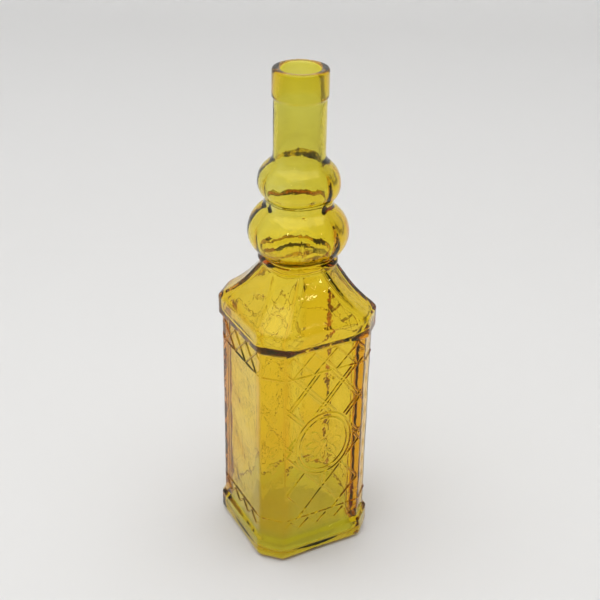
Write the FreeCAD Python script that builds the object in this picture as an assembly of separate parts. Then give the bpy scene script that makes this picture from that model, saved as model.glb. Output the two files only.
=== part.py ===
"""Square-bodied antique glass bottle with a double-bulb neck and an applied lip.

Millimetres. The bottle stands on z = 0 with its axis on Z, and its four flat panels face +X, -X, +Y and -Y.
The glass is two pieces: the mould-blown vessel, and the lip that was laid on its neck while hot.
"""

import FreeCAD
import Part
import math
import os

Vector = FreeCAD.Vector

# Heights above the table
TOTAL_HEIGHT = 280.0
LIP_HEIGHT = 15.3
NECK_LENGTH = 32.9
UPPER_BULB_HEIGHT = 21.1
WAIST_HEIGHT = 3.9
LOWER_BULB_HEIGHT = 28.2
BEAD_HEIGHT = 5.0
SHOULDER_HEIGHT = 23.8
RIM_HEIGHT = 11.4
RIM_LEDGE_HEIGHT = 1.0
PLINTH_HEIGHT = 13.0
PLINTH_BEVEL_HEIGHT = 2.0

# Square parts: half-width across the flats, and the leg of the 45 degree corner cut
BODY_HALF = 34.2
BODY_CORNER = 10.2
RIM_HALF = 36.2
RIM_CORNER = 11.5
PLINTH_HALF = 36.0
PLINTH_CORNER = 10.8

# Round parts: outside radii
LIP_RADIUS = 14.5
NECK_RADIUS = 13.7
UPPER_BULB_RADIUS = 21.9
WAIST_RADIUS = 18.2
LOWER_BULB_RADIUS = 27.1
BEAD_RADIUS = 21.7

# Where each bulb is widest, as a height above its own lower end
UPPER_BULB_EQUATOR = 8.8
LOWER_BULB_EQUATOR = 13.1

# Glass thickness: the inside follows the outside, and is rounder at the upright corners
BORE_RADIUS = 10.0
BULB_WALL = 3.1
WAIST_WALL = 3.4
BODY_WALL = 3.3
SHOULDER_DROP = 2.3
FLOOR_THICKNESS = 4.5
FLOOR_ROUND = 5.0
INNER_CORNER_RADIUS = 18.0
INNER_RIM_RADIUS = 15.0

# Underside: round heel of the plinth, flat foot and shallow kick
HEEL_RADIUS = 4.0
HEEL_STEPS = 4
FOOT_WIDTH = 5.0
KICK_DEPTH = 1.6

# Shoulder: how far its slope sags below a straight line
SHOULDER_SAG = 2.6
SHOULDER_STEPS = 4

# Soft hollows where the neck and the waist run into the bulbs
NECK_HOLLOW = 3.0
WAIST_HOLLOW = 1.5

# Lip joint: the neck ends in a thin spigot that the lip ring is wrapped round
SPIGOT_RADIUS = 12.2
SPIGOT_LENGTH = 9.0
LIP_TOP_ROUND = 1.0
LIP_UNDER_BEVEL = 0.5
MOUTH_ROUND = 1.2

# Moulded pattern: raised lines on the panels, with drops from a panel's top and rises from its foot
RIB_WIDTH = 1.5
RIB_HEIGHT = 0.5
RIB_ROOT = 0.5
PATTERN_MARGIN = 1.5
CROSS_DROP = 1.8
CROSS_PERIOD = 26.6
UPPER_BORDER_DROP = 15.0
LOWER_BORDER_RISE = 12.6
TOOTH_RISE = 5.4
TOOTH_HEIGHT = 5.2
TOOTH_PERIOD = 11.3
TOOTH_PEAK = 2.6

# Ring between the borders, and the crossings and pitch (across, up) of the lattice above and below it
RING_RISE = 0.5
RING_HALF_WIDTH = 17.3
RING_HALF_HEIGHT = 19.9
RING_GAP = 2.8
UPPER_NODE_RISE = 26.0
UPPER_MESH = (22.0, 25.0)
LOWER_NODE_DROP = 30.0
LOWER_MESH = (22.8, 26.4)

# Levels worked out from the heights, top to bottom
Z_LIP = TOTAL_HEIGHT - LIP_HEIGHT
Z_NECK = Z_LIP - NECK_LENGTH
Z_UPPER_BULB = Z_NECK - UPPER_BULB_HEIGHT
Z_WAIST = Z_UPPER_BULB - WAIST_HEIGHT
Z_LOWER_BULB = Z_WAIST - LOWER_BULB_HEIGHT
Z_BEAD = Z_LOWER_BULB - BEAD_HEIGHT
Z_RIM_TOP = Z_BEAD - SHOULDER_HEIGHT
Z_RIM = Z_RIM_TOP - RIM_HEIGHT
Z_BODY_TOP = Z_RIM - RIM_LEDGE_HEIGHT
Z_BODY = PLINTH_HEIGHT + PLINTH_BEVEL_HEIGHT
Z_SPIGOT = Z_LIP + SPIGOT_LENGTH
Z_INNER_BODY = Z_BODY_TOP - RIM_LEDGE_HEIGHT / 2
Z_INNER_RIM = Z_RIM + SHOULDER_DROP
Z_INNER_RIM_TOP = Z_RIM_TOP - SHOULDER_DROP

# Places of the pattern on a panel
PATTERN_HALF = BODY_HALF - BODY_CORNER - PATTERN_MARGIN
Z_CROSS_TOP = Z_BODY_TOP - CROSS_DROP
Z_UPPER_BORDER = Z_BODY_TOP - UPPER_BORDER_DROP
Z_LOWER_BORDER = Z_BODY + LOWER_BORDER_RISE
Z_TOOTH = Z_BODY + TOOTH_RISE
Z_RING = (Z_UPPER_BORDER + Z_LOWER_BORDER) / 2 + RING_RISE
Z_UPPER_NODE = Z_RING + UPPER_NODE_RISE
Z_LOWER_NODE = Z_RING - LOWER_NODE_DROP

OCTAGON = 1 / math.cos(math.radians(22.5))
OVERLAP = 1.0


def chamfered_square(half, corner, z):
    """Closed outline of a square with cut corners at height z."""
    flat = half - corner
    quarter = [Vector(half, -flat, z), Vector(half, flat, z)]
    points = [FreeCAD.Rotation(Vector(0, 0, 1), 90 * k).multVec(p) for k in range(4) for p in quarter]
    return Part.makePolygon(points + points[:1])


def inset(half, corner, depth):
    """Half-width and corner cut of a square part that is moved in by the same depth all round."""
    return half - depth, corner - depth * (2 - math.sqrt(2))


def rounded_square(half, radius, z):
    """Closed outline of a square with round corners at height z, as four lines and four arcs."""
    flat = half - radius
    bulge = flat + radius * math.sqrt(0.5)
    edges = []
    for k in range(4):
        turn = FreeCAD.Rotation(Vector(0, 0, 1), 90 * k)
        low, high, middle, far = (
            turn.multVec(p)
            for p in (
                Vector(half, -flat, z),
                Vector(half, flat, z),
                Vector(bulge, bulge, z),
                Vector(flat, half, z),
            )
        )
        edges += [Part.LineSegment(low, high).toShape(), Part.Arc(high, middle, far).toShape()]
    return Part.Wire(edges)


def revolve_profile(edges):
    """Solid of revolution about Z from edges that close a profile in the XZ plane."""
    face = Part.Face(Part.Wire(Part.sortEdges(edges)[0]))
    return face.revolve(Vector(0, 0, 0), Vector(0, 0, 1), 360)


def line(start, end):
    """Straight profile edge between two (radius, height) pairs."""
    return Part.LineSegment(Vector(start[0], 0, start[1]), Vector(end[0], 0, end[1])).toShape()


def quarter_bulge(end, equator):
    """Profile arc from (radius, height) end to the equator, where it stands upright."""
    depth = equator[0] - end[0]
    rise = end[1] - equator[1]
    radius = (depth * depth + rise * rise) / (2 * depth)
    half_angle = math.asin(rise / radius) / 2
    middle = (
        equator[0] - radius + radius * math.cos(half_angle),
        equator[1] + radius * math.sin(half_angle),
    )
    points = [Vector(r, 0, z) for r, z in (end, middle, equator)]
    return Part.Arc(*points).toShape()


def bulb_edges(top, equator, bottom):
    """Profile of one bulb, from its upper end over the equator to its lower end."""
    return [quarter_bulge(top, equator), quarter_bulge(bottom, equator)]


def upper_bulb(wall, end_radius, waist_radius):
    """Upper bulb's profile, set in from the outside by the wall at the equator."""
    equator = (UPPER_BULB_RADIUS - wall, Z_UPPER_BULB + UPPER_BULB_EQUATOR)
    return bulb_edges((end_radius, Z_NECK), equator, (waist_radius, Z_UPPER_BULB))


def lower_bulb(wall, waist_radius, end_radius):
    """Lower bulb's profile, set in from the outside by the wall at the equator."""
    equator = (LOWER_BULB_RADIUS - wall, Z_LOWER_BULB + LOWER_BULB_EQUATOR)
    return bulb_edges((waist_radius, Z_WAIST), equator, (end_radius, Z_LOWER_BULB))


def round_edges(shape, radius, z):
    """Circular edges of a shape with the given radius, level at height z."""
    near = OVERLAP / 10
    return [
        e
        for e in shape.Edges
        if hasattr(e.Curve, "Radius")
        and abs(e.Curve.Radius - radius) < near
        and abs(e.BoundBox.Center.z - z) < near
        and e.BoundBox.ZLength < near
    ]


def outer_neck():
    """Outside of the bead, both bulbs, the neck and the spigot under the lip."""
    bead_seat = BEAD_RADIUS - BEAD_HEIGHT / 2
    bead = Part.Arc(
        Vector(bead_seat, 0, Z_LOWER_BULB),
        Vector(BEAD_RADIUS, 0, Z_BEAD + BEAD_HEIGHT / 2),
        Vector(bead_seat, 0, Z_BEAD),
    ).toShape()
    edges = [
        line((0, Z_SPIGOT), (SPIGOT_RADIUS, Z_SPIGOT)),
        line((SPIGOT_RADIUS, Z_SPIGOT), (SPIGOT_RADIUS, Z_LIP)),
        line((SPIGOT_RADIUS, Z_LIP), (NECK_RADIUS, Z_LIP)),
        line((NECK_RADIUS, Z_LIP), (NECK_RADIUS, Z_NECK)),
        *upper_bulb(0, NECK_RADIUS, WAIST_RADIUS),
        line((WAIST_RADIUS, Z_UPPER_BULB), (WAIST_RADIUS, Z_WAIST)),
        *lower_bulb(0, WAIST_RADIUS, bead_seat),
        bead,
        line((bead_seat, Z_BEAD), (0, Z_BEAD)),
        line((0, Z_BEAD), (0, Z_SPIGOT)),
    ]
    neck = revolve_profile(edges)
    for radius, z, hollow in (
        (NECK_RADIUS, Z_NECK, NECK_HOLLOW),
        (WAIST_RADIUS, Z_UPPER_BULB, WAIST_HOLLOW),
        (WAIST_RADIUS, Z_WAIST, WAIST_HOLLOW),
    ):
        neck = neck.makeFillet(hollow, round_edges(neck, radius, z))
    return neck


def inner_neck():
    """Cavity from the mouth down through both bulbs to the throat of the shoulder."""
    waist = WAIST_RADIUS - WAIST_WALL
    throat = shoulder_top_half() - BULB_WALL
    edges = [
        line((0, Z_SPIGOT), (BORE_RADIUS, Z_SPIGOT)),
        line((BORE_RADIUS, Z_SPIGOT), (BORE_RADIUS, Z_NECK)),
        *upper_bulb(BULB_WALL, BORE_RADIUS, waist),
        line((waist, Z_UPPER_BULB), (waist, Z_WAIST)),
        *lower_bulb(BULB_WALL, waist, throat),
        line((throat, Z_LOWER_BULB), (throat, Z_BEAD - OVERLAP)),
        line((throat, Z_BEAD - OVERLAP), (0, Z_BEAD - OVERLAP)),
        line((0, Z_BEAD - OVERLAP), (0, Z_SPIGOT)),
    ]
    return revolve_profile(edges)


def shoulder_top_half():
    """Half-width of the shoulder's octagonal top, whose corners stay inside the bead."""
    return (BEAD_RADIUS - BEAD_HEIGHT / 4) / OCTAGON


def shoulder_slope(step):
    """Share of the way out from the throat to the rim, and the height, at one step of the sagging slope."""
    share = step / SHOULDER_STEPS
    height = Z_BEAD + OVERLAP - share * (SHOULDER_HEIGHT + OVERLAP)
    return share, height - SHOULDER_SAG * math.sin(math.pi * share)


def shoulder():
    """Concave eight-sided slope from the bead out to the rim."""
    top_half = shoulder_top_half()
    top_corner = top_half * (2 - math.sqrt(2))
    outlines = []
    for step in range(SHOULDER_STEPS + 1):
        share, z = shoulder_slope(step)
        half = top_half + share * (RIM_HALF - top_half)
        corner = top_corner + share * (RIM_CORNER - top_corner)
        outlines.append(chamfered_square(half, corner, z))
    return Part.makeLoft(outlines, True, False)


def border(z):
    """Sections of a raised line that runs level round the body."""
    raised = inset(BODY_HALF, BODY_CORNER, -RIB_HEIGHT)
    return [
        (BODY_HALF, BODY_CORNER, z - RIB_WIDTH / 2),
        (*raised, z),
        (BODY_HALF, BODY_CORNER, z + RIB_WIDTH / 2),
    ]


def heel():
    """Sections of the round heel, from the table up to the upright side of the plinth."""
    sections = []
    for step in range(HEEL_STEPS):
        angle = math.pi / 2 * step / HEEL_STEPS
        depth = HEEL_RADIUS * (1 - math.sin(angle))
        sections.append((*inset(PLINTH_HALF, PLINTH_CORNER, depth), HEEL_RADIUS * (1 - math.cos(angle))))
    return sections


def square_body():
    """Plinth, panels with their borders, and rim, as one stack of cut-corner outlines."""
    sections = [
        *heel(),
        (PLINTH_HALF, PLINTH_CORNER, HEEL_RADIUS),
        (PLINTH_HALF, PLINTH_CORNER, PLINTH_HEIGHT),
        (BODY_HALF, BODY_CORNER, Z_BODY),
        *border(Z_LOWER_BORDER),
        *border(Z_UPPER_BORDER),
        (BODY_HALF, BODY_CORNER, Z_BODY_TOP),
        (RIM_HALF, RIM_CORNER, Z_RIM),
        (RIM_HALF, RIM_CORNER, Z_RIM_TOP),
    ]
    return Part.makeLoft([chamfered_square(*section) for section in sections], True, True)


def panel_prism(wire):
    """Raised solid on the -Y panel, rooted in the glass, over a closed outline in the root's plane."""
    return Part.Face(wire).extrude(Vector(0, -RIB_ROOT - RIB_HEIGHT, 0))


def on_panel(place):
    """Point at the root of the pattern on the -Y panel, from (across, up)."""
    return Vector(place[0], RIB_ROOT - BODY_HALF, place[1])


def outline_rib(places):
    """Raised solid over a polygon of (across, up) places."""
    points = [on_panel(p) for p in places]
    return panel_prism(Part.makePolygon(points + points[:1]))


def zigzag_rib(low, high, period, peak):
    """Raised zigzag across the panel, cut off at its edges, with a peak at the given place across."""
    turns = [peak + k * period / 2 for k in range(-8, 9)]
    across = [-PATTERN_HALF, *(x for x in turns if abs(x) < PATTERN_HALF), PATTERN_HALF]
    levels = [low + (high - low) * abs(((x - peak) / period) % 1 - 0.5) * 2 for x in across]
    half = RIB_WIDTH / 2 * math.hypot(1, 2 * (high - low) / period)
    upper = [(x, z + half) for x, z in zip(across, levels)]
    lower = [(x, z - half) for x, z in zip(across, levels)]
    return outline_rib(upper + lower[::-1])


def oval(inward):
    """Solid oval on the panel, set in from the middle of the outer ring."""
    centre = on_panel((0, Z_RING))
    top = on_panel((0, Z_RING + RING_HALF_HEIGHT - inward))
    side = on_panel((RING_HALF_WIDTH - inward, Z_RING))
    return panel_prism(Part.Wire(Part.Ellipse(top, side, centre).toShape()))


def ring_rib(inward):
    """Raised oval ring."""
    return oval(inward - RIB_WIDTH / 2).cut(oval(inward + RIB_WIDTH / 2))


def lattice_ribs(node, mesh, low, high):
    """Diagonal lines between two levels, crossing at the node's level in the middle and a pitch away."""
    ribs = []
    half = RIB_WIDTH / 2 * math.hypot(1, mesh[0] / mesh[1])
    for lean in (mesh[0] / mesh[1], -mesh[0] / mesh[1]):
        for column in (-1, 0, 1):
            middle = column * mesh[0]
            foot = middle + lean * (low - node)
            head = middle + lean * (high - node)
            ends = [(foot - half, low), (foot + half, low), (head + half, high), (head - half, high)]
            ribs.append(outline_rib(ends))
    return ribs


def field():
    """Space between the borders and outside the ring, where the lattice shows."""
    corner = Vector(-PATTERN_HALF, -BODY_HALF - RIB_HEIGHT, Z_LOWER_BORDER)
    height = Z_UPPER_BORDER - Z_LOWER_BORDER
    space = Part.makeBox(2 * PATTERN_HALF, RIB_ROOT + RIB_HEIGHT, height, corner)
    return space.cut(oval(0))


def panel_pattern(with_ring):
    """Raised lines on the -Y panel: a crossed band, a toothed band, and the ring in its lattice."""
    ribs = [
        zigzag_rib(Z_UPPER_BORDER, Z_CROSS_TOP, CROSS_PERIOD, CROSS_PERIOD / 4),
        zigzag_rib(Z_UPPER_BORDER, Z_CROSS_TOP, CROSS_PERIOD, -CROSS_PERIOD / 4),
        zigzag_rib(Z_TOOTH, Z_TOOTH + TOOTH_HEIGHT, TOOTH_PERIOD, TOOTH_PEAK),
    ]
    if with_ring:
        diagonals = lattice_ribs(Z_UPPER_NODE, UPPER_MESH, Z_RING, Z_UPPER_BORDER)
        diagonals += lattice_ribs(Z_LOWER_NODE, LOWER_MESH, Z_LOWER_BORDER, Z_RING)
        ribs.append(diagonals[0].multiFuse(diagonals[1:]).common(field()))
        ribs += [ring_rib(0), ring_rib(RING_GAP)]
    return ribs


def pattern():
    """Pattern on all four panels: rings on the front and back ones, bands alone on the other two."""
    ribs = []
    for quarter in range(4):
        for rib in panel_pattern(with_ring=quarter % 2 == 0):
            rib.rotate(Vector(0, 0, 0), Vector(0, 0, 1), 90 * quarter)
            ribs.append(rib)
    return ribs


def inner_body():
    """Cavity of the body and the rim: rounder inside than out, with a round edge at the floor."""
    half = BODY_HALF - BODY_WALL
    rim_half = RIM_HALF - BODY_WALL
    section = Part.Face(rounded_square(half, INNER_CORNER_RADIUS, FLOOR_THICKNESS))
    cavity = section.extrude(Vector(0, 0, Z_INNER_BODY - FLOOR_THICKNESS))
    floor_edges = [
        e for e in cavity.Edges if all(abs(v.Z - FLOOR_THICKNESS) < OVERLAP / 10 for v in e.Vertexes)
    ]
    cavity = cavity.makeFillet(FLOOR_ROUND, floor_edges)
    step = [
        rounded_square(half, INNER_CORNER_RADIUS, Z_INNER_BODY),
        rounded_square(rim_half, INNER_RIM_RADIUS, Z_INNER_RIM),
        rounded_square(rim_half, INNER_RIM_RADIUS, Z_INNER_RIM_TOP),
    ]
    return cavity.fuse(Part.makeLoft(step, True, True))


def inner_shoulder():
    """Cavity under the shoulder, closing from the rim's inside to the throat."""
    low_half = RIM_HALF - BODY_WALL
    top_half = shoulder_top_half() - BULB_WALL
    top_radius = top_half - OVERLAP
    outlines = []
    for step in range(SHOULDER_STEPS + 1):
        share, z = shoulder_slope(step)
        half = top_half + share * (low_half - top_half)
        radius = top_radius + share * (INNER_RIM_RADIUS - top_radius)
        outlines.append(rounded_square(half, radius, z - share * SHOULDER_DROP - OVERLAP * (1 - share)))
    return Part.makeLoft(outlines, True, False)


def base_kick():
    """Shallow dome pressed up into the underside, which leaves a flat foot all round."""
    half = PLINTH_HALF - HEEL_RADIUS - FOOT_WIDTH
    radius = (half * half + KICK_DEPTH * KICK_DEPTH) / (2 * KICK_DEPTH)
    dome = Part.makeSphere(radius, Vector(0, 0, KICK_DEPTH - radius))
    slab = Part.makeBox(2 * half, 2 * half, KICK_DEPTH, Vector(-half, -half, 0))
    return dome.common(slab)


def bottle_body():
    """The mould-blown vessel."""
    outside = square_body().multiFuse([shoulder(), outer_neck(), *pattern()])
    inside = inner_body().multiFuse([inner_shoulder(), inner_neck()])
    return outside.cut(inside).cut(base_kick()).removeSplitter()


def applied_lip():
    """Ring of glass wrapped round the spigot, with a bore that carries on from the neck's."""
    z_top = TOTAL_HEIGHT
    edges = [
        line((SPIGOT_RADIUS, Z_LIP), (LIP_RADIUS - LIP_UNDER_BEVEL, Z_LIP)),
        line((LIP_RADIUS - LIP_UNDER_BEVEL, Z_LIP), (LIP_RADIUS, Z_LIP + LIP_UNDER_BEVEL)),
        line((LIP_RADIUS, Z_LIP + LIP_UNDER_BEVEL), (LIP_RADIUS, z_top)),
        line((LIP_RADIUS, z_top), (BORE_RADIUS, z_top)),
        line((BORE_RADIUS, z_top), (BORE_RADIUS, Z_SPIGOT)),
        line((BORE_RADIUS, Z_SPIGOT), (SPIGOT_RADIUS, Z_SPIGOT)),
        line((SPIGOT_RADIUS, Z_SPIGOT), (SPIGOT_RADIUS, Z_LIP)),
    ]
    ring = revolve_profile(edges)
    for radius, size in ((LIP_RADIUS, LIP_TOP_ROUND), (BORE_RADIUS, MOUTH_ROUND)):
        ring = ring.makeFillet(size, round_edges(ring, radius, z_top))
    return ring


def main():
    os.makedirs("parts", exist_ok=True)
    for name, make in (("bottle_body", bottle_body), ("applied_lip", applied_lip)):
        shape = make()
        print(name, "valid", shape.isValid(), "solids", len(shape.Solids), "mm3", round(shape.Volume))
        shape.exportStep(f"parts/{name}.step")


main()
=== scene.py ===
import math

import bpy
import numpy as np
from mathutils import Matrix, Vector


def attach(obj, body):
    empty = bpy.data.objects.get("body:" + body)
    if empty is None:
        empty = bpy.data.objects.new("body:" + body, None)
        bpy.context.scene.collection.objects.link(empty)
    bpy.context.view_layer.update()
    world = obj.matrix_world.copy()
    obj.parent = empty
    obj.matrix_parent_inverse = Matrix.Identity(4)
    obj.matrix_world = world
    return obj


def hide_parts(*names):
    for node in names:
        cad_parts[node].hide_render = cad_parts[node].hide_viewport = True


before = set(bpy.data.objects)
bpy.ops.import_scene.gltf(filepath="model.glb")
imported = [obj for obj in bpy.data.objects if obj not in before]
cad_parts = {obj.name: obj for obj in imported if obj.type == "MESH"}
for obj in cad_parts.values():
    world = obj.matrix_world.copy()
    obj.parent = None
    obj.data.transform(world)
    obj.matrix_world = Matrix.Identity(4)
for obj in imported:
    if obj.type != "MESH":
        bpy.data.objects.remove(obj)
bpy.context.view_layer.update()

# Amber glass bottle: one continuous mesh of glass takes the place of both solids, on a pale floor.
# Sizes of the bottle and the camera's place are in millimetres, and those of the stage and lamps in metres.
MM = 0.001

# Camera, from a fit to the photograph: distances from the bottle's foot, angles in degrees, a square image
CAMERA_AWAY = 540.0
CAMERA_HEIGHT = 449.3
CAMERA_AZIMUTH = -28.0
CAMERA_PITCH = 29.06
CAMERA_YAW = 0.18
CAMERA_ROLL = 1.07
FOCAL_PIXELS = 1129.3
IMAGE_PIXELS = 600
SENSOR_WIDTH = 36.0

# Directions as the camera sees them
VIEW_ANGLE = math.radians(-CAMERA_AZIMUTH)
RIGHT = Vector((math.cos(VIEW_ANGLE), -math.sin(VIEW_ANGLE), 0))
BACK = Vector((math.sin(VIEW_ANGLE), math.cos(VIEW_ANGLE), 0))
UP = Vector((0, 0, 1))

# Levels of the outside, above the table
Z_TOP = 280.0
Z_LIP = 264.7
Z_NECK = 231.8
Z_UPPER_EQUATOR = 219.5
Z_UPPER_END = 210.7
Z_WAIST = 206.8
Z_LOWER_EQUATOR = 191.7
Z_LOWER_END = 178.6
Z_BEAD = 173.6
Z_RIM_TOP = 149.8
Z_RIM = 138.4
Z_BODY_TOP = 136.6
Z_BODY = 15.0
Z_PLINTH = 13.0

# Half-widths and corner cuts of the square parts
BODY = (34.2, 10.2)
RIM = (36.2, 11.5)
PLINTH = (36.0, 10.8)
SHOULDER_TOP = (18.9, 11.0)
PANEL_HALF = BODY[0] - BODY[1]

# Hollow of the shoulder's slope, round edge of the foot, and kick in the underside
SHOULDER_SAG = 2.6
FOOT_ROUND = 4.0
KICK_DEPTH = 1.6
KICK_RADIUS = 27.0

# Radii as seen from the camera, and how square each round part is: 2 is a circle
LIP_RADIUS = 14.5
NECK_RADIUS = 13.7
UPPER_BULB = (21.9, 2.2)
WAIST = (18.2, 2.75)
LOWER_BULB = (27.1, 2.2)
BEAD = (21.7, 2.6)
BEAD_SEAT = (19.2, 2.6)

# Edges of the lip: height of its slanted underside, and for each rounding its reach and the cut at its middle
LIP_UNDER = 1.0
LIP_ROUND = (1.2, 0.35)
MOUTH_ROUND = (1.4, 0.4)

# Inside of the round parts: radii, and how square the bulbs, the waist and the throat are
BORE_RADIUS = 10.0
INNER_NECK = 11.7
INNER_UPPER = (19.3, 2.2)
INNER_WAIST = (16.1, 2.5)
INNER_LOWER = (23.9, 2.2)
INNER_THROAT = (16.4, 2.4)

# Inside of the square parts: half-widths and corner cuts
INNER_SHOULDER_TOP = (16.2, 9.6)
INNER_RIM = (32.9, 9.6)
INNER_BODY = (30.9, 12.0)
INNER_FOOT = (32.5, 9.4)

# Levels of the inside, and the floor's round edge and dome
Z_INNER_BORE = 262.7
Z_INNER_NECK = 229.7
Z_INNER_UPPER_END = 212.3
Z_INNER_WAIST = 204.3
Z_INNER_LOWER_END = 180.8
Z_INNER_SHOULDER = 171.6
Z_INNER_RIM_TOP = 147.5
Z_INNER_RIM = 140.9
Z_INNER_BODY = 136.9
Z_INNER_FOOT = 16.0
FLOOR_LEVEL = 3.4
FLOOR_ROUND = 4.0
FLOOR_DOME = 1.2

# Cavity of the bulbs: its shift to the left, the length it fades over at either end, and upright folds
BULB_SHIFT = 0.8
BULB_FADE = 8.0
FOLD_DEPTH = 0.22
FOLD_COUNT = 11
FOLD_TURN = 0.1

# Waves in the glass: height and seed for each side, their number, turns and lengths, and where they fade
OUTER_RIPPLE = (0.10, 3)
INNER_RIPPLE = (0.09, 8)
RIPPLE_WAVES = 14
RIPPLE_AROUND = (1, 7)
RIPPLE_LENGTHS = (18, 60)
RIPPLE_RADIUS = 11.0
RIPPLE_FADE = 6.0

# Rounding by averaging: spread in columns round the plan, in rows up the outline, and rows of overlap
OUTER_CORNERS = 3.0
INNER_CORNERS = 9.0
BODY_EDGES = 1.25
BEAD_EDGES = 1.2
BULB_EDGES = 1.3
INNER_EDGES = 1.3
BEAD_LAP = 3

# Rounding at one edge: rows before it, rows after it, and spread in rows
RIM_EDGE = (9, 6, 2.2)
NECK_HOLLOW = (10, 10, 2.8)
INNER_NECK_HOLLOW = (5, 7, 1.8)

# Moulded bands on the panels: section of the raised lines, levels, periods and fade at a panel's edge
RIB_HALF = 0.65
RIB_HEIGHT = 0.7
UPPER_BORDER = 122.4
LOWER_BORDER = 27.6
CROSS_TOP = 135.6
CROSS_PERIOD = 26.6
TOOTH_LOW = 20.4
TOOTH_HIGH = 25.6
TOOTH_PERIOD = 11.3
TOOTH_SHIFT = 2.6
PANEL_FADE = 2.0

# Doubled ring on two opposite panels: its middle (across, up), half-sizes, doubling and bare margin
RING_MIDDLE = (0.0, 75.5)
RING_HALF_WIDTH = 17.3
RING_HALF_HEIGHT = 19.9
RING_GAP = 2.8
RING_MARGIN = 1.5

# Plain rosette in the ring, with heights as shares of a raised line's
PETALS = 8
PETAL_ROOT = 3.2
PETAL_LENGTH = 8.0
PETAL_POWER = 0.7
PETAL_SLANT = 0.55
PETAL_SHARE = 0.5
PETAL_CLEAR = 2.5
HUB_RADIUS = 2.6
HUB_SHARE = 0.8

# Lattice above and below the ring: a crossing, pitch (across, up), doubling, and ends of its stems
UPPER_NODE = (0.0, 101.5)
UPPER_MESH = (22.0, 25.0)
UPPER_GAP = 2.8
UPPER_STEM = (-6.0, 0.0)
LOWER_NODE = (0.0, 45.5)
LOWER_MESH = (22.8, 26.4)
LOWER_GAP = 0.0
LOWER_STEM = (0.0, 10.0)
STEM_SIDE = 1.2
STEM_HALF_SHARE = 0.9
STEM_SHARE = 0.8

# Chain of links and beads up the corner cuts
CHAIN_START = 36.0
CHAIN_PITCH = 11.0
CHAIN_LINKS = 7
CHAIN_SHARE = 0.3
LINK_HALF_WIDTH = 2.0
LINK_HALF_HEIGHT = 3.0
LINK_SLANT = 1.6
LINK_BEAD = 1.0
CORNER_REACH = 7.0
CORNER_FADE = 1.5

# Mould seams: height, share of it by column, and how far above the neck's foot they end
SEAM_HEIGHT = 0.35
SEAM_SHARES = (0.35, 1.0, 0.35)
SEAM_REACH = 12.0
SEAM_FADE = 10.0

# Blister: across, up, radius and height, its width over its length, and its panel in quarter turns from +X
BLISTER = (5.0, 117.0, 1.5, 1.4)
BLISTER_SLIMNESS = 0.8
BLISTER_PANEL = 3

# Mesh density: columns on one panel and on one corner cut, and the stride over them in each stretch of rows
FACE_COLUMNS = 148
CORNER_COLUMNS = 36
STRIDES = (4, 1, 2, 2, 2, 4)

# Half the angle that a panel's columns take on a round part
ROUND_FACE_ANGLE = math.radians(22.5)

# Mesh density: millimetres of outline between rows, and counts of rows
RELIEF_STEP = 0.32
FINE_STEP = 0.6
PLAIN_STEP = 0.8
INNER_STEP = 1.2
INNER_NECK_STEP = 2.4
KICK_ROWS = 18
FOOT_ROWS = 6
HEEL_ROWS = 14
SHOULDER_ROWS = 30
BORE_ROWS = 12
THROAT_ROWS = 3
INNER_SHOULDER_ROWS = 26
FLOOR_EDGE_ROWS = 9
FLOOR_ROWS = 16

# Glass: absorption per metre is density times what the colour lacks, and tints go by level. The tints are
# painted light and shade: the foot is darker, and the foot and the neck turn green, standing in for the shade
# and the light seen through those parts.
GLASS_IOR = 1.52
ABSORPTION_COLOUR = (0.989, 0.945, 0.42, 1)
ABSORPTION_DENSITY = 800.0
SPECULAR_TINT = (0.97, 0.88, 0.42, 1)
PAINTED_LIGHT_TINTS = (
    (0.0, (0.80, 0.88, 0.83)),
    (4.8, (0.80, 0.88, 0.83)),
    (8.0, (0.74, 0.82, 0.74)),
    (13.0, (0.76, 0.83, 0.76)),
    (20.0, (0.92, 0.89, 0.88)),
    (38.0, (0.95, 0.87, 0.86)),
    (60.0, (1.0, 0.96, 0.98)),
    (145.0, (1.0, 0.97, 0.98)),
    (180.0, (1.0, 1.0, 1.0)),
    (225.0, (0.92, 0.94, 0.90)),
    (240.0, (0.83, 0.84, 0.62)),
    (280.0, (0.91, 0.96, 0.97)),
)
STREAK_SCALE = 90.0
STREAK_STRETCH = (1.0, 1.0, 0.2)
STREAK_LEVELS = (0.95, 1.0)
SKIN_SCALE = 200.0
SKIN_DEPTH = 0.15

# Stage: colours, level where the wall's is full, and the glow seen through glass with its end on the right
FLOOR_COLOUR = (0.73, 0.725, 0.715, 1)
WALL_COLOUR = (0.93, 0.93, 0.93, 1)
WALL_LEVEL = 0.25
GLOW_COLOUR = (0.76, 0.76, 0.74, 1)
GLOW_SHARE = 0.6
GLOW_END = (0.46, 0.56)

# Stage: left and right ends, cross lines of the floor away from the camera, the bend, and lines up the wall
STAGE_SIDES = (-3.0, 3.0)
FLOOR_LINES = (-3.0, -0.5, 0.0, 0.216)
STAGE_BEND = 0.36
BEND_RADIUS = 0.16
BEND_STEPS = 16
WALL_LINES = (0.6, 1.4)

# Room: dim and bright levels, the bright side as parts left, back and up, and where the light is full
ROOM_DIM = 0.32
ROOM_BRIGHT = 0.95
BRIGHT_SIDE = (0.45, 0.25, 0.86)
BRIGHT_FROM = 0.8

# Lamps: name, place, target, size and watts. The sparks only make glints.
OVERHEAD = ("overhead", (0.0, 0.1, 1.6), (0, 0, 0.1), 2.0, 18.5)
SPARKS = (
    ("spark_left", (-1.0, -0.9, 1.1), (0, 0, 0.2), 0.14, 1.6),
    ("spark_right", (0.60, -1.2, 0.82), (0, 0, 0.2), 0.035, 0.05),
)

# How much a 45 degree corner cut shrinks as its part moves in by one unit
CUT_SHARE = 2 - math.sqrt(2)


def inset(section, depth):
    """Half-width and corner cut of a square part that is moved in by the same depth all round."""
    half, cut = section
    return half - depth, cut - depth * CUT_SHARE


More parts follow.
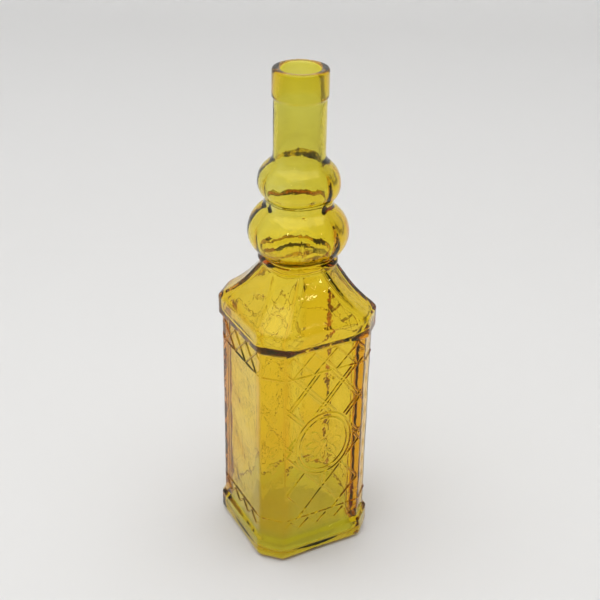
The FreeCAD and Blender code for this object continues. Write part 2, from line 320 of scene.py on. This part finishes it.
def superellipse_support(power):
    """Width of a unit superellipse across the camera's line of sight."""
    dual = power / (power - 1)
    return (math.cos(VIEW_ANGLE) ** dual + math.sin(VIEW_ANGLE) ** dual) ** (1 / dual)


def round_row(z, radius, power=2.0):
    """Row of the outline on a round part: it has no flats."""
    return (z, radius, radius * CUT_SHARE, 1.0, radius / superellipse_support(power), power)


def square_row(z, half, corner):
    """Row of the outline on a part with flats and cut corners."""
    return (z, half, corner, 0.0, half, 2.0)


def mix_rows(a, b, count, lift=lambda t: 0.0):
    """Rows from a up to, but not including, b."""
    a = np.array(a)
    b = np.array(b)
    rows = []
    for i in range(count):
        t = i / count
        row = a + (b - a) * t
        row[0] += lift(t)
        rows.append(row)
    return rows


def straight(a, b, step):
    """Evenly spaced rows between two rows."""
    length = math.hypot(b[0] - a[0], b[1] - a[1])
    return mix_rows(a, b, max(2, math.ceil(length / step)))


def straights(path, step):
    """Evenly spaced rows along a path of rows, without its last row."""
    rows = []
    for a, b in zip(path, path[1:]):
        rows += straight(a, b, step)
    return rows


def bulge(end, equator, step, to_end):
    """Rows on the arc between an end row and an equator row, where the outline stands upright."""
    depth = equator[1] - end[1]
    rise = end[0] - equator[0]
    radius = (depth * depth + rise * rise) / (2 * depth)
    full = math.asin(abs(rise) / radius)
    count = max(4, math.ceil(full * radius / step))
    rows = []
    for i in range(count):
        t = i / count
        share = t if to_end else 1 - t
        angle = full * share
        z = equator[0] + math.copysign(radius * math.sin(angle), rise)
        out = equator[1] - radius * (1 - math.cos(angle))
        power = equator[5] + (end[5] - equator[5]) * share ** 2
        rows.append(np.array(round_row(z, out, power)))
    return rows


def quarter_round(section, level, radius, count):
    """Rows round an edge of a square part, from its level face to its upright one."""
    rows = []
    for i in range(count):
        angle = math.pi / 2 * i / count
        z = level + radius * (1 - math.cos(angle))
        rows.append(np.array(square_row(z, *inset(section, radius * (1 - math.sin(angle))))))
    return rows


def sag(t):
    """Hollow of the shoulder's slope."""
    return -SHOULDER_SAG * math.sin(math.pi * t)


def underside_rows():
    """Rows of the underside, from its middle out to the foot: a shallow kick, then a flat foot."""
    curve = (KICK_RADIUS ** 2 + KICK_DEPTH ** 2) / (2 * KICK_DEPTH)
    rows = []
    for i in range(1, KICK_ROWS + 1):
        r = KICK_RADIUS * i / KICK_ROWS
        z = KICK_DEPTH - curve + math.sqrt(curve ** 2 - r * r)
        rows.append(np.array(round_row(z, r)))
    foot = square_row(0.0, *inset(PLINTH, FOOT_ROUND))
    return rows + mix_rows(round_row(0.0, KICK_RADIUS), foot, FOOT_ROWS)[1:]


def body_rows():
    """Rows of the outside of the plinth, the panelled body and the rim."""
    path = [
        square_row(FOOT_ROUND, *PLINTH),
        square_row(Z_PLINTH, *PLINTH),
        square_row(Z_BODY, *BODY),
        square_row(Z_BODY_TOP, *BODY),
        square_row(Z_RIM, *RIM),
        square_row(Z_RIM_TOP, *RIM),
    ]
    return quarter_round(PLINTH, 0.0, FOOT_ROUND, HEEL_ROWS) + straights(path, RELIEF_STEP)


def shoulder_rows():
    """Rows of the outside from the top of the rim to the underside of the lower bulb."""
    rim_top = square_row(Z_RIM_TOP, *RIM)
    seat_low = round_row(Z_BEAD, *BEAD_SEAT)
    seat_high = round_row(Z_LOWER_END, *BEAD_SEAT)
    bead = round_row((Z_BEAD + Z_LOWER_END) / 2, *BEAD)
    rows = mix_rows(rim_top, square_row(Z_BEAD, *SHOULDER_TOP), SHOULDER_ROWS, sag)
    rows += bulge(seat_low, bead, FINE_STEP, False)
    return rows + bulge(seat_high, bead, FINE_STEP, True)


def bulb_rows():
    """Rows of the outside of both bulbs and the neck."""
    seat = round_row(Z_LOWER_END, *BEAD_SEAT)
    lower = round_row(Z_LOWER_EQUATOR, *LOWER_BULB)
    waist_low = round_row(Z_WAIST, *WAIST)
    waist_high = round_row(Z_UPPER_END, *WAIST)
    upper = round_row(Z_UPPER_EQUATOR, *UPPER_BULB)
    neck_low = round_row(Z_NECK, NECK_RADIUS)
    neck_high = round_row(Z_LIP, NECK_RADIUS)
    rows = bulge(seat, lower, PLAIN_STEP, False)
    rows += bulge(waist_low, lower, PLAIN_STEP, True)
    rows += straight(waist_low, waist_high, PLAIN_STEP)
    rows += bulge(waist_high, upper, PLAIN_STEP, False)
    rows += bulge(neck_low, upper, PLAIN_STEP, True)
    return rows + straight(neck_low, neck_high, PLAIN_STEP)


def lip_rows():
    """Rows of the lip, from under it to the edge of the bore."""
    outer_reach, outer_middle = LIP_ROUND
    mouth_reach, mouth_middle = MOUTH_ROUND
    path = [
        round_row(Z_LIP, NECK_RADIUS),
        round_row(Z_LIP + LIP_UNDER, LIP_RADIUS),
        round_row(Z_TOP - outer_reach, LIP_RADIUS),
        round_row(Z_TOP - outer_middle, LIP_RADIUS - outer_middle),
        round_row(Z_TOP, LIP_RADIUS - outer_reach),
        round_row(Z_TOP, BORE_RADIUS + mouth_reach),
        round_row(Z_TOP - mouth_middle, BORE_RADIUS + mouth_middle),
        round_row(Z_TOP - mouth_reach, BORE_RADIUS),
    ]
    return straights(path, FINE_STEP)


def inner_neck_rows():
    """Rows of the inside, from the edge of the mouth through the neck and both bulbs to the throat."""
    mouth = round_row(Z_TOP - MOUTH_ROUND[0], BORE_RADIUS)
    bore_end = round_row(Z_INNER_BORE, INNER_NECK)
    neck = round_row(Z_INNER_NECK, INNER_NECK)
    upper = round_row(Z_UPPER_EQUATOR, *INNER_UPPER)
    waist_high = round_row(Z_INNER_UPPER_END, *INNER_WAIST)
    waist_low = round_row(Z_INNER_WAIST, *INNER_WAIST)
    lower = round_row(Z_LOWER_EQUATOR, *INNER_LOWER)
    throat_high = round_row(Z_INNER_LOWER_END, *INNER_THROAT)
    throat_low = round_row(Z_BEAD, *INNER_THROAT)
    rows = mix_rows(mouth, bore_end, BORE_ROWS)
    rows += straight(bore_end, neck, INNER_NECK_STEP)
    rows += bulge(neck, upper, INNER_STEP, False)
    rows += bulge(waist_high, upper, INNER_STEP, True)
    rows += straight(waist_high, waist_low, INNER_STEP)
    rows += bulge(waist_low, lower, INNER_STEP, False)
    rows += bulge(throat_high, lower, INNER_STEP, True)
    return rows + straight(throat_high, throat_low, INNER_STEP)


def inner_body_rows():
    """Rows of the inside, from the throat through shoulder, rim and body to the middle of the floor."""
    throat = round_row(Z_BEAD, *INNER_THROAT)
    shoulder_top = square_row(Z_INNER_SHOULDER, *INNER_SHOULDER_TOP)
    path = [
        square_row(Z_INNER_RIM_TOP, *INNER_RIM),
        square_row(Z_INNER_RIM, *INNER_RIM),
        square_row(Z_INNER_BODY, *INNER_BODY),
        square_row(Z_INNER_FOOT, *INNER_BODY),
        square_row(FLOOR_LEVEL + FLOOR_ROUND, *INNER_FOOT),
    ]
    rows = mix_rows(throat, shoulder_top, THROAT_ROWS)
    rows += mix_rows(shoulder_top, path[0], INNER_SHOULDER_ROWS, sag)
    rows += straights(path, INNER_STEP)
    rows.append(np.array(path[-1]))
    rows += quarter_round(INNER_FOOT, FLOOR_LEVEL, FLOOR_ROUND, FLOOR_EDGE_ROWS)[:0:-1]
    half, cut = inset(INNER_FOOT, FLOOR_ROUND)
    for i in range(FLOOR_ROWS, 0, -1):
        share = i / FLOOR_ROWS
        z = FLOOR_LEVEL + FLOOR_DOME * (1 - share ** 2)
        rows.append(np.array(square_row(z, half * share, cut * share)))
    return rows


def quarter_columns():
    """Place of each column in one quarter turn: -1 to 1 on the flat, and 0 to 1 along the corner cut."""
    flat = -1 + 2 * np.arange(FACE_COLUMNS) / FACE_COLUMNS
    corner = np.arange(CORNER_COLUMNS) / CORNER_COLUMNS
    return flat, corner


def section_points(rows):
    """Plan coordinates of every row and column, before smoothing, as complex numbers x + iy."""
    flat, corner = quarter_columns()
    half, cut, roundness, width, power = (rows[:, k, None] for k in range(1, 6))
    x_square = np.concatenate([half + 0 * flat, half - corner * cut], axis=1)
    y_square = np.concatenate([(half - cut) * flat, half - cut + corner * cut], axis=1)
    turn = math.pi / 2 - 2 * ROUND_FACE_ANGLE
    angle = np.concatenate([flat * ROUND_FACE_ANGLE, ROUND_FACE_ANGLE + corner * turn])[None, :]
    reach = width / (np.abs(np.cos(angle)) ** power + np.abs(np.sin(angle)) ** power) ** (1 / power)
    x = (1 - roundness) * x_square + roundness * reach * np.cos(angle)
    y = (1 - roundness) * y_square + roundness * reach * np.sin(angle)
    quarter = x + 1j * y
    return np.concatenate([quarter * 1j ** k for k in range(4)], axis=1)


def gauss_kernel(sigma):
    """Offsets and weights of a bell curve out to three times its spread."""
    reach = max(1, math.ceil(3 * sigma))
    offsets = np.arange(-reach, reach + 1)
    weights = np.exp(-0.5 * (offsets / sigma) ** 2)
    return offsets, weights / weights.sum()


def smooth_around(points, sigma):
    """Rounds the upright edges by averaging along each row."""
    offsets, weights = gauss_kernel(sigma)
    return sum(w * np.roll(points, -o, axis=1) for o, w in zip(offsets, weights))


def smooth_along(values, sigma):
    """Rounds the level edges by averaging across rows, with the end rows repeated past the ends."""
    offsets, weights = gauss_kernel(sigma)
    index = np.arange(len(values))
    return sum(w * values[np.clip(index + o, 0, len(values) - 1)] for o, w in zip(offsets, weights))


def nearest_row(heights, z):
    """Index of the row that is nearest to a level."""
    return int(np.argmin(np.abs(heights - z)))


def rows_near(row, edge):
    """First row, end row and spread of the rounding at one edge."""
    before, after, spread = edge
    return row - before, row + after, spread


def rib(distance, half_width, height):
    """Cross-section of a raised line: a smooth bump that ends at its half-width."""
    reach = np.clip(np.abs(distance) / half_width, 0, 1)
    return height * (0.5 + 0.5 * np.cos(math.pi * reach))


def line_rib(distance):
    """Cross-section of the pattern's usual raised line."""
    return rib(distance, RIB_HALF, RIB_HEIGHT)


def segment_distance(x, z, start, end):
    """Distance from each point to a straight line between two points."""
    run = (end[0] - start[0], end[1] - start[1])
    share = ((x - start[0]) * run[0] + (z - start[1]) * run[1]) / (run[0] ** 2 + run[1] ** 2)
    share = np.clip(share, 0, 1)
    return np.hypot(x - start[0] - share * run[0], z - start[1] - share * run[1])


def zigzag(x, z, low, high, period, shift):
    """Raised zigzag between two levels."""
    phase = np.abs(((x - shift) / period) % 1 - 0.5) * 2
    slope = 2 * (high - low) / period
    distance = (z - (low + (high - low) * phase)) / math.hypot(1, slope)
    inside = (z > low - RIB_HALF) & (z < high + RIB_HALF)
    return np.where(inside, line_rib(distance), 0)


def diamonds(x, z, centre, pitch, gap):
    """Raised lattice of diagonal lines, doubled where there is a gap."""
    height = np.zeros_like(x)
    slope = pitch[1] / pitch[0]
    for sign in (1, -1):
        across = (x - centre[0]) + sign * (z - centre[1]) / slope
        for offset in (-gap / 2, gap / 2):
            distance = (across - offset + pitch[0] / 2) % pitch[0] - pitch[0] / 2
            height = np.maximum(height, line_rib(distance * math.sin(math.atan(slope))))
    return height


def borders(z):
    """Border lines at the top and the foot of the field."""
    return np.maximum(line_rib(z - UPPER_BORDER), line_rib(z - LOWER_BORDER))


def panel_bands(x, z):
    """Border lines with a crossed band above and a zigzag band below, the same on every panel."""
    height = borders(z)
    for shift in (CROSS_PERIOD / 4, -CROSS_PERIOD / 4):
        height = np.maximum(height, zigzag(x, z, UPPER_BORDER, CROSS_TOP, CROSS_PERIOD, shift))
    return np.maximum(height, zigzag(x, z, TOOTH_LOW, TOOTH_HIGH, TOOTH_PERIOD, TOOTH_SHIFT))


def ring_and_rosette(x, z):
    """Doubled oval ring with a plain rosette of petals, and where the field round it begins."""
    u = (x - RING_MIDDLE[0]) / RING_HALF_WIDTH
    v = (z - RING_MIDDLE[1]) / RING_HALF_HEIGHT
    scale = (RING_HALF_WIDTH + RING_HALF_HEIGHT) / 2
    out = np.hypot(u, v) * scale
    angle = np.arctan2(v, u)
    height = np.maximum(line_rib(out - scale), line_rib(out - scale + RING_GAP))
    petal = PETAL_ROOT + PETAL_LENGTH * np.abs(np.cos(PETALS / 2 * angle)) ** PETAL_POWER
    petals = rib((out - petal) * PETAL_SLANT, RIB_HALF, RIB_HEIGHT * PETAL_SHARE)
    height = np.maximum(height, petals * (out > PETAL_CLEAR))
    height = np.maximum(height, rib(out, HUB_RADIUS, RIB_HEIGHT * HUB_SHARE))
    return height, out > scale + RING_MARGIN


def lattice(x, z):
    """Lattice above and below the ring, with short stems at the crossings."""
    above = diamonds(x, z, UPPER_NODE, UPPER_MESH, UPPER_GAP)
    below = diamonds(x, z, LOWER_NODE, LOWER_MESH, LOWER_GAP)
    height = np.where(z > RING_MIDDLE[1], above, below)
    for side in (-STEM_SIDE, STEM_SIDE):
        for node, (low, high) in ((UPPER_NODE, UPPER_STEM), (LOWER_NODE, LOWER_STEM)):
            x_stem = node[0] + side
            distance = segment_distance(x, z, (x_stem, node[1] + low), (x_stem, node[1] + high))
            stem = rib(distance, RIB_HALF * STEM_HALF_SHARE, RIB_HEIGHT * STEM_SHARE)
            height = np.maximum(height, stem)
    return height


def panel_relief(x, z, with_ring):
    """Height of the moulded pattern over a panel, in millimetres, at (across, up)."""
    height = panel_bands(x, z)
    if with_ring:
        field = (z < UPPER_BORDER) & (z > LOWER_BORDER)
        ring, outside = ring_and_rosette(x, z)
        height = np.maximum(height, np.where(field & outside, lattice(x, z), 0))
        height = np.maximum(height, ring)
    return height * np.clip((PANEL_HALF - np.abs(x)) / PANEL_FADE, 0, 1)


def blister(x, z):
    """Small blemish in the glass of one panel."""
    across, up, radius, height = BLISTER
    return rib(np.hypot(x - across, (z - up) * BLISTER_SLIMNESS), radius, height)


def corner_relief(across, z):
    """Border lines and a faint chain of small links and beads up each corner cut."""
    phase = (z - CHAIN_START) % CHAIN_PITCH - CHAIN_PITCH / 2
    link = np.abs(across) / LINK_HALF_WIDTH + np.abs(phase) / LINK_HALF_HEIGHT
    chain = rib((link - 1) * LINK_SLANT, RIB_HALF, RIB_HEIGHT * CHAIN_SHARE)
    chain = np.maximum(chain, rib(np.hypot(across, phase), LINK_BEAD, RIB_HEIGHT * CHAIN_SHARE))
    chain = np.where((z > CHAIN_START) & (z < CHAIN_START + CHAIN_PITCH * CHAIN_LINKS), chain, 0)
    fade = np.clip((CORNER_REACH - np.abs(across)) / CORNER_FADE, 0, 1)
    return np.maximum(borders(z), chain) * fade


def add_relief(points, heights, low, high):
    """Raises the moulded pattern on the four panels and the four corner cuts."""
    flat, corner = quarter_columns()
    quarter = FACE_COLUMNS + CORNER_COLUMNS
    z = heights[low:high, None]
    on_body = np.clip(z - Z_BODY, 0, 1) * np.clip(Z_BODY_TOP - z, 0, 1)
    x, z_panel = np.broadcast_arrays(PANEL_HALF * flat[None, :], z)
    across, z_corner = np.broadcast_arrays((corner[None, :] - 0.5) * BODY[1] * math.sqrt(2), z)
    for k in range(4):
        out = 1j ** k
        start = k * quarter
        panel = panel_relief(x, z_panel, with_ring=k % 2 == 1) * on_body
        if k == BLISTER_PANEL:
            panel = np.maximum(panel, blister(x, z_panel))
        points[low:high, start:start + FACE_COLUMNS] += panel * out
        edge = corner_relief(across, z_corner) * on_body
        points[low:high, start + FACE_COLUMNS:start + quarter] += edge * out * np.exp(0.25j * math.pi)


def add_seams(points, heights, low, high):
    """Raises the two mould seams, on opposite upright edges and up to the neck."""
    quarter = FACE_COLUMNS + CORNER_COLUMNS
    fade = np.clip((Z_NECK + SEAM_REACH - heights[low:high]) / SEAM_FADE, 0, 1)
    for k in (1, 3):
        for offset, share in zip((-1, 0, 1), SEAM_SHARES):
            column = points[low:high, k * quarter + offset]
            column += SEAM_HEIGHT * share * fade * column / np.abs(column)


def ripple(angle, z, strength, seed):
    """Gentle unevenness of hand-blown glass, from a few fixed waves."""
    rng = np.random.default_rng(seed)
    total = np.zeros(np.broadcast(angle, z).shape)
    for _ in range(RIPPLE_WAVES):
        around = rng.integers(*RIPPLE_AROUND)
        wavelength = rng.uniform(*RIPPLE_LENGTHS)
        phase = rng.uniform(0, 2 * math.pi)
        total += np.sin(around * angle + 2 * math.pi * z / wavelength + phase)
    return strength * total / math.sqrt(RIPPLE_WAVES)


def add_unevenness(points, heights, outside, inside):
    """Adds waves to both sides of the glass, and folds and the shift to the cavity of the bulbs."""
    angle = np.angle(points)
    z = heights[:, None]
    outward = np.exp(1j * angle)
    fade = np.clip((np.abs(points) - RIPPLE_RADIUS) / RIPPLE_FADE, 0, 1) * np.clip(z / RIPPLE_FADE, 0, 1)
    in_bulbs = np.clip((z - Z_BEAD) / BULB_FADE, 0, 1) * np.clip((Z_NECK - z) / BULB_FADE, 0, 1)
    folds = FOLD_DEPTH * np.cos(FOLD_COUNT * (angle - VIEW_ANGLE) + FOLD_TURN)
    faded = outward * fade
    points[outside] += (ripple(angle, z, *OUTER_RIPPLE) * faded)[outside]
    points[inside] += (ripple(angle, z, *INNER_RIPPLE) * faded)[inside]
    points[inside] += (folds * in_bulbs * outward)[inside]
    points[inside] -= (BULB_SHIFT * in_bulbs * np.exp(-1j * VIEW_ANGLE))[inside]


def build_glass():
    """Grid of the whole surface: plan points by row and column, heights by row, and column strides by row."""
    inner_rows = inner_neck_rows() + inner_body_rows()
    stretches = [underside_rows(), body_rows(), shoulder_rows(), bulb_rows(), lip_rows(), inner_rows]
    counts = [len(s) for s in stretches]
    body, shoulder, bulbs, lip, inner = np.cumsum(counts)[:5]
    rows = np.array(sum(stretches, []))
    heights = rows[:, 0].copy()
    points = section_points(rows)
    points[:inner] = smooth_around(points[:inner], OUTER_CORNERS)
    points[inner:] = smooth_around(points[inner:], INNER_CORNERS)
    neck = bulbs + nearest_row(heights[bulbs:lip], Z_NECK)
    inner_neck = inner + nearest_row(heights[inner:], Z_INNER_NECK)
    for low, high, spread in (
        (body, shoulder, BODY_EDGES),
        rows_near(shoulder, RIM_EDGE),
        (shoulder, bulbs + BEAD_LAP, BEAD_EDGES),
        (bulbs, lip, BULB_EDGES),
        (inner, len(rows), INNER_EDGES),
        rows_near(neck, NECK_HOLLOW),
        rows_near(inner_neck, INNER_NECK_HOLLOW),
    ):
        heights[low:high] = smooth_along(heights[low:high], spread)
        points[low:high] = smooth_along(points[low:high], spread)
    add_relief(points, heights, body, shoulder)
    add_seams(points, heights, body, lip)
    add_unevenness(points, heights, slice(body, lip), slice(inner, None))
    return points, heights, np.repeat(STRIDES, counts)


def mesh_from_grid(points, heights, strides):
    """Closed mesh: every column where the relief is, and every second or fourth column elsewhere."""
    total = points.shape[1]
    vertices = []
    starts = []
    for row, stride in enumerate(strides):
        starts.append(len(vertices))
        ring = points[row, ::stride]
        vertices.extend(zip(ring.real * MM, ring.imag * MM, [heights[row] * MM] * len(ring)))
    faces = []
    for row in range(len(heights) - 1):
        low, high = starts[row], starts[row + 1]
        low_stride, high_stride = strides[row], strides[row + 1]
        step = max(low_stride, high_stride)
        low_pieces = step // low_stride
        high_pieces = step // high_stride
        low_total = total // low_stride
        high_total = total // high_stride
        for k in range(total // step):
            bottom = [low + (k * low_pieces + j) % low_total for j in range(low_pieces + 1)]
            top = [high + (k * high_pieces + j) % high_total for j in range(high_pieces + 1)]
            faces.append(bottom + top[::-1])
    for row, flip in ((0, True), (len(heights) - 1, False)):
        ring_total = total // strides[row]
        centre = len(vertices)
        vertices.append((0.0, 0.0, heights[row] * MM))
        for k in range(ring_total):
            a = starts[row] + k
            b = starts[row] + (k + 1) % ring_total
            faces.append([b, a, centre] if flip else [a, b, centre])
    return smooth_mesh("bottle_glass", vertices, faces)


def smooth_mesh(name, vertices, faces):
    """Mesh with smooth shading."""
    mesh = bpy.data.meshes.new(name)
    mesh.from_pydata(vertices, [], faces)
    mesh.polygons.foreach_set("use_smooth", [True] * len(mesh.polygons))
    mesh.update()
    return mesh


def new_material(name):
    """Material with nodes, its node tree, its main shader and a node for places on the object."""
    material = bpy.data.materials.new(name)
    material.use_nodes = True
    tree = material.node_tree
    return material, tree, tree.nodes["Principled BSDF"], tree.nodes.new("ShaderNodeTexCoord")


def level_of(tree, place):
    """Height above the table, in metres."""
    parts = tree.nodes.new("ShaderNodeSeparateXYZ")
    tree.links.new(place.outputs["Object"], parts.inputs[0])
    return parts.outputs["Z"]


def painted_light_tint(tree, place):
    """Painted light and shade by level: it darkens the foot and turns to green at the neck and the foot,
    standing in for the shade and the light seen through them.
    """
    share = tree.nodes.new("ShaderNodeMath")
    share.operation = "DIVIDE"
    share.inputs[1].default_value = Z_TOP * MM
    tint = tree.nodes.new("ShaderNodeValToRGB")
    for level, _ in PAINTED_LIGHT_TINTS[1:-1]:
        tint.color_ramp.elements.new(level / Z_TOP)
    for element, (level, colour) in zip(tint.color_ramp.elements, PAINTED_LIGHT_TINTS):
        element.position = level / Z_TOP
        element.color = (*colour, 1)
    tree.links.new(level_of(tree, place), share.inputs[0])
    tree.links.new(share.outputs[0], tint.inputs["Fac"])
    return tint.outputs["Color"]


def glass_streaks(tree, place):
    """Brightness of faint upright streaks."""
    stretch = tree.nodes.new("ShaderNodeMapping")
    stretch.inputs["Scale"].default_value = STREAK_STRETCH
    noise = tree.nodes.new("ShaderNodeTexNoise")
    noise.inputs["Scale"].default_value = STREAK_SCALE
    noise.inputs["Detail"].default_value = 3.0
    levels = tree.nodes.new("ShaderNodeMapRange")
    levels.inputs["From Min"].default_value = 0.3
    levels.inputs["From Max"].default_value = 0.7
    levels.inputs["To Min"].default_value = STREAK_LEVELS[0]
    levels.inputs["To Max"].default_value = STREAK_LEVELS[1]
    tree.links.new(place.outputs["Object"], stretch.inputs["Vector"])
    tree.links.new(stretch.outputs["Vector"], noise.inputs["Vector"])
    tree.links.new(noise.outputs["Fac"], levels.inputs["Value"])
    return levels.outputs["Result"]


def glass_skin(tree, place):
    """Normal of the fine uneven skin that the mould leaves."""
    noise = tree.nodes.new("ShaderNodeTexNoise")
    noise.inputs["Scale"].default_value = SKIN_SCALE
    noise.inputs["Detail"].default_value = 2.0
    bump = tree.nodes.new("ShaderNodeBump")
    bump.inputs["Strength"].default_value = 1.0
    bump.inputs["Distance"].default_value = SKIN_DEPTH * MM
    tree.links.new(place.outputs["Object"], noise.inputs["Vector"])
    tree.links.new(noise.outputs["Fac"], bump.inputs["Height"])
    return bump.outputs["Normal"]


def glass_material():
    """Clear amber glass: absorption gives the amber, and the surface adds a tint by level that is painted
    light and shade, streaks and skin.
    """
    material, tree, shader, place = new_material("amber_glass")
    shader.inputs["Roughness"].default_value = 0.0
    shader.inputs["IOR"].default_value = GLASS_IOR
    shader.inputs["Transmission Weight"].default_value = 1.0
    shader.inputs["Specular Tint"].default_value = SPECULAR_TINT
    scale = tree.nodes.new("ShaderNodeVectorMath")
    scale.operation = "SCALE"
    # The tint by level is painted light and shade on the glass's colour.
    tree.links.new(painted_light_tint(tree, place), scale.inputs[0])
    tree.links.new(glass_streaks(tree, place), scale.inputs["Scale"])
    tree.links.new(scale.outputs["Vector"], shader.inputs["Base Color"])
    tree.links.new(glass_skin(tree, place), shader.inputs["Normal"])
    absorption = tree.nodes.new("ShaderNodeVolumeAbsorption")
    absorption.inputs["Color"].default_value = ABSORPTION_COLOUR
    absorption.inputs["Density"].default_value = ABSORPTION_DENSITY
    tree.links.new(absorption.outputs["Volume"], tree.nodes["Material Output"].inputs["Volume"])
    return material


def stage_colour(tree, place):
    """Colour of the floor, which turns to the wall's as it rises."""
    rise = tree.nodes.new("ShaderNodeMapRange")
    rise.inputs["From Max"].default_value = WALL_LEVEL
    colour = tree.nodes.new("ShaderNodeMix")
    colour.data_type = "RGBA"
    colour.inputs["A"].default_value = FLOOR_COLOUR
    colour.inputs["B"].default_value = WALL_COLOUR
    tree.links.new(level_of(tree, place), rise.inputs["Value"])
    tree.links.new(rise.outputs["Result"], colour.inputs["Factor"])
    return colour.outputs["Result"]


def stage_glow(tree, place):
    """Even glow that ends some way to the right of the bottle."""
    aside = tree.nodes.new("ShaderNodeVectorMath")
    aside.operation = "DOT_PRODUCT"
    aside.inputs[1].default_value = RIGHT
    dimming = tree.nodes.new("ShaderNodeMapRange")
    dimming.inputs["From Min"].default_value = GLOW_END[0]
    dimming.inputs["From Max"].default_value = GLOW_END[1]
    dimming.inputs["To Min"].default_value = 1.0
    dimming.inputs["To Max"].default_value = 0.0
    glow = tree.nodes.new("ShaderNodeEmission")
    glow.inputs["Color"].default_value = GLOW_COLOUR
    tree.links.new(place.outputs["Object"], aside.inputs[0])
    tree.links.new(aside.outputs["Value"], dimming.inputs["Value"])
    tree.links.new(dimming.outputs["Result"], glow.inputs["Strength"])
    return glow.outputs["Emission"]


def stage_material():
    """Pale matt floor and paler wall, with a share of even glow where they are seen through the glass."""
    material, tree, shader, place = new_material("pale_floor")
    shader.inputs["Roughness"].default_value = 0.7
    shader.inputs["Specular IOR Level"].default_value = 0.2
    tree.links.new(stage_colour(tree, place), shader.inputs["Base Color"])
    path = tree.nodes.new("ShaderNodeLightPath")
    share = tree.nodes.new("ShaderNodeMath")
    share.operation = "MULTIPLY"
    share.inputs[1].default_value = GLOW_SHARE
    mix = tree.nodes.new("ShaderNodeMixShader")
    tree.links.new(path.outputs["Is Transmission Ray"], share.inputs[0])
    tree.links.new(share.outputs[0], mix.inputs["Fac"])
    tree.links.new(shader.outputs["BSDF"], mix.inputs[1])
    tree.links.new(stage_glow(tree, place), mix.inputs[2])
    tree.links.new(mix.outputs["Shader"], tree.nodes["Material Output"].inputs["Surface"])
    return material


def add_object(name, data):
    """Object in the scene."""
    thing = bpy.data.objects.new(name, data)
    bpy.context.scene.collection.objects.link(thing)
    return thing


def add_stage():
    """Pale floor that sweeps up into a wall behind the bottle."""
    profile = [(away, 0.0) for away in FLOOR_LINES]
    for i in range(BEND_STEPS + 1):
        angle = math.pi / 2 * i / BEND_STEPS
        away = STAGE_BEND + BEND_RADIUS * math.sin(angle)
        profile.append((away, BEND_RADIUS * (1 - math.cos(angle))))
    profile += [(STAGE_BEND + BEND_RADIUS, z) for z in WALL_LINES]
    vertices = []
    for away, z in profile:
        for aside in STAGE_SIDES:
            point = BACK * away + RIGHT * aside
            vertices.append((point.x, point.y, z))
    faces = [(2 * i, 2 * i + 1, 2 * i + 3, 2 * i + 2) for i in range(len(profile) - 1)]
    floor = add_object("sweep", smooth_mesh("sweep", vertices, faces))
    floor.data.materials.append(stage_material())


def add_lamp(name, place, target, size, watts):
    """Square area lamp that faces its target."""
    light = bpy.data.lights.new(name, "AREA")
    light.size = size
    light.energy = watts
    lamp = add_object(name, light)
    lamp.location = place
    lamp.rotation_euler = (Vector(target) - Vector(place)).to_track_quat("-Z", "Y").to_euler()
    return lamp


def add_camera():
    """Camera of the photograph: it faces the bottle's axis, then turns by yaw, pitch and roll."""
    pitch, yaw, roll = (math.radians(v) for v in (CAMERA_PITCH, CAMERA_YAW, CAMERA_ROLL))
    away_x = -CAMERA_AWAY * math.sin(VIEW_ANGLE)
    away_y = -CAMERA_AWAY * math.cos(VIEW_ANGLE)
    forward = BACK * math.cos(yaw) + RIGHT * math.sin(yaw)
    right = RIGHT * math.cos(yaw) - BACK * math.sin(yaw)
    forward, up = (
        forward * math.cos(pitch) - UP * math.sin(pitch),
        UP * math.cos(pitch) + forward * math.sin(pitch),
    )
    right, up = (
        right * math.cos(roll) + up * math.sin(roll),
        up * math.cos(roll) - right * math.sin(roll),
    )
    camera = bpy.data.cameras.new("camera")
    camera.sensor_width = SENSOR_WIDTH
    camera.lens = FOCAL_PIXELS * SENSOR_WIDTH / IMAGE_PIXELS
    camera.clip_start = 0.01
    holder = add_object("camera", camera)
    place = Matrix.Translation(Vector((away_x, away_y, CAMERA_HEIGHT)) * MM)
    holder.matrix_world = place @ Matrix((right, up, -forward)).transposed().to_4x4()
    bpy.context.scene.camera = holder


def add_world():
    """Soft room: bright above and on the left, dim on the right and behind the camera."""
    world = bpy.data.worlds.new("room")
    world.use_nodes = True
    nodes = world.node_tree.nodes
    links = world.node_tree.links
    left, back, up = BRIGHT_SIDE
    place = nodes.new("ShaderNodeTexCoord")
    facing = nodes.new("ShaderNodeVectorMath")
    facing.operation = "DOT_PRODUCT"
    facing.inputs[1].default_value = (back * BACK - left * RIGHT + up * UP).normalized()
    ramp = nodes.new("ShaderNodeMapRange")
    ramp.interpolation_type = "SMOOTHSTEP"
    ramp.inputs["From Min"].default_value = 0.0
    ramp.inputs["From Max"].default_value = BRIGHT_FROM
    ramp.inputs["To Min"].default_value = ROOM_DIM
    ramp.inputs["To Max"].default_value = ROOM_BRIGHT
    links.new(place.outputs["Generated"], facing.inputs[0])
    links.new(facing.outputs["Value"], ramp.inputs["Value"])
    links.new(ramp.outputs["Result"], nodes["Background"].inputs["Strength"])
    nodes["Background"].inputs["Color"].default_value = (1.0, 1.0, 1.0, 1)
    bpy.context.scene.world = world


bottle = add_object("bottle_glass", mesh_from_grid(*build_glass()))
bottle.data.materials.append(glass_material())
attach(bottle, "root")
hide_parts("bottle_body", "applied_lip")

add_stage()
add_camera()
add_world()
add_lamp(*OVERHEAD)
for spark in SPARKS:
    lamp = add_lamp(*spark)
    lamp.visible_transmission = False
    lamp.visible_diffuse = False
bpy.context.scene.view_settings.view_transform = "Standard"
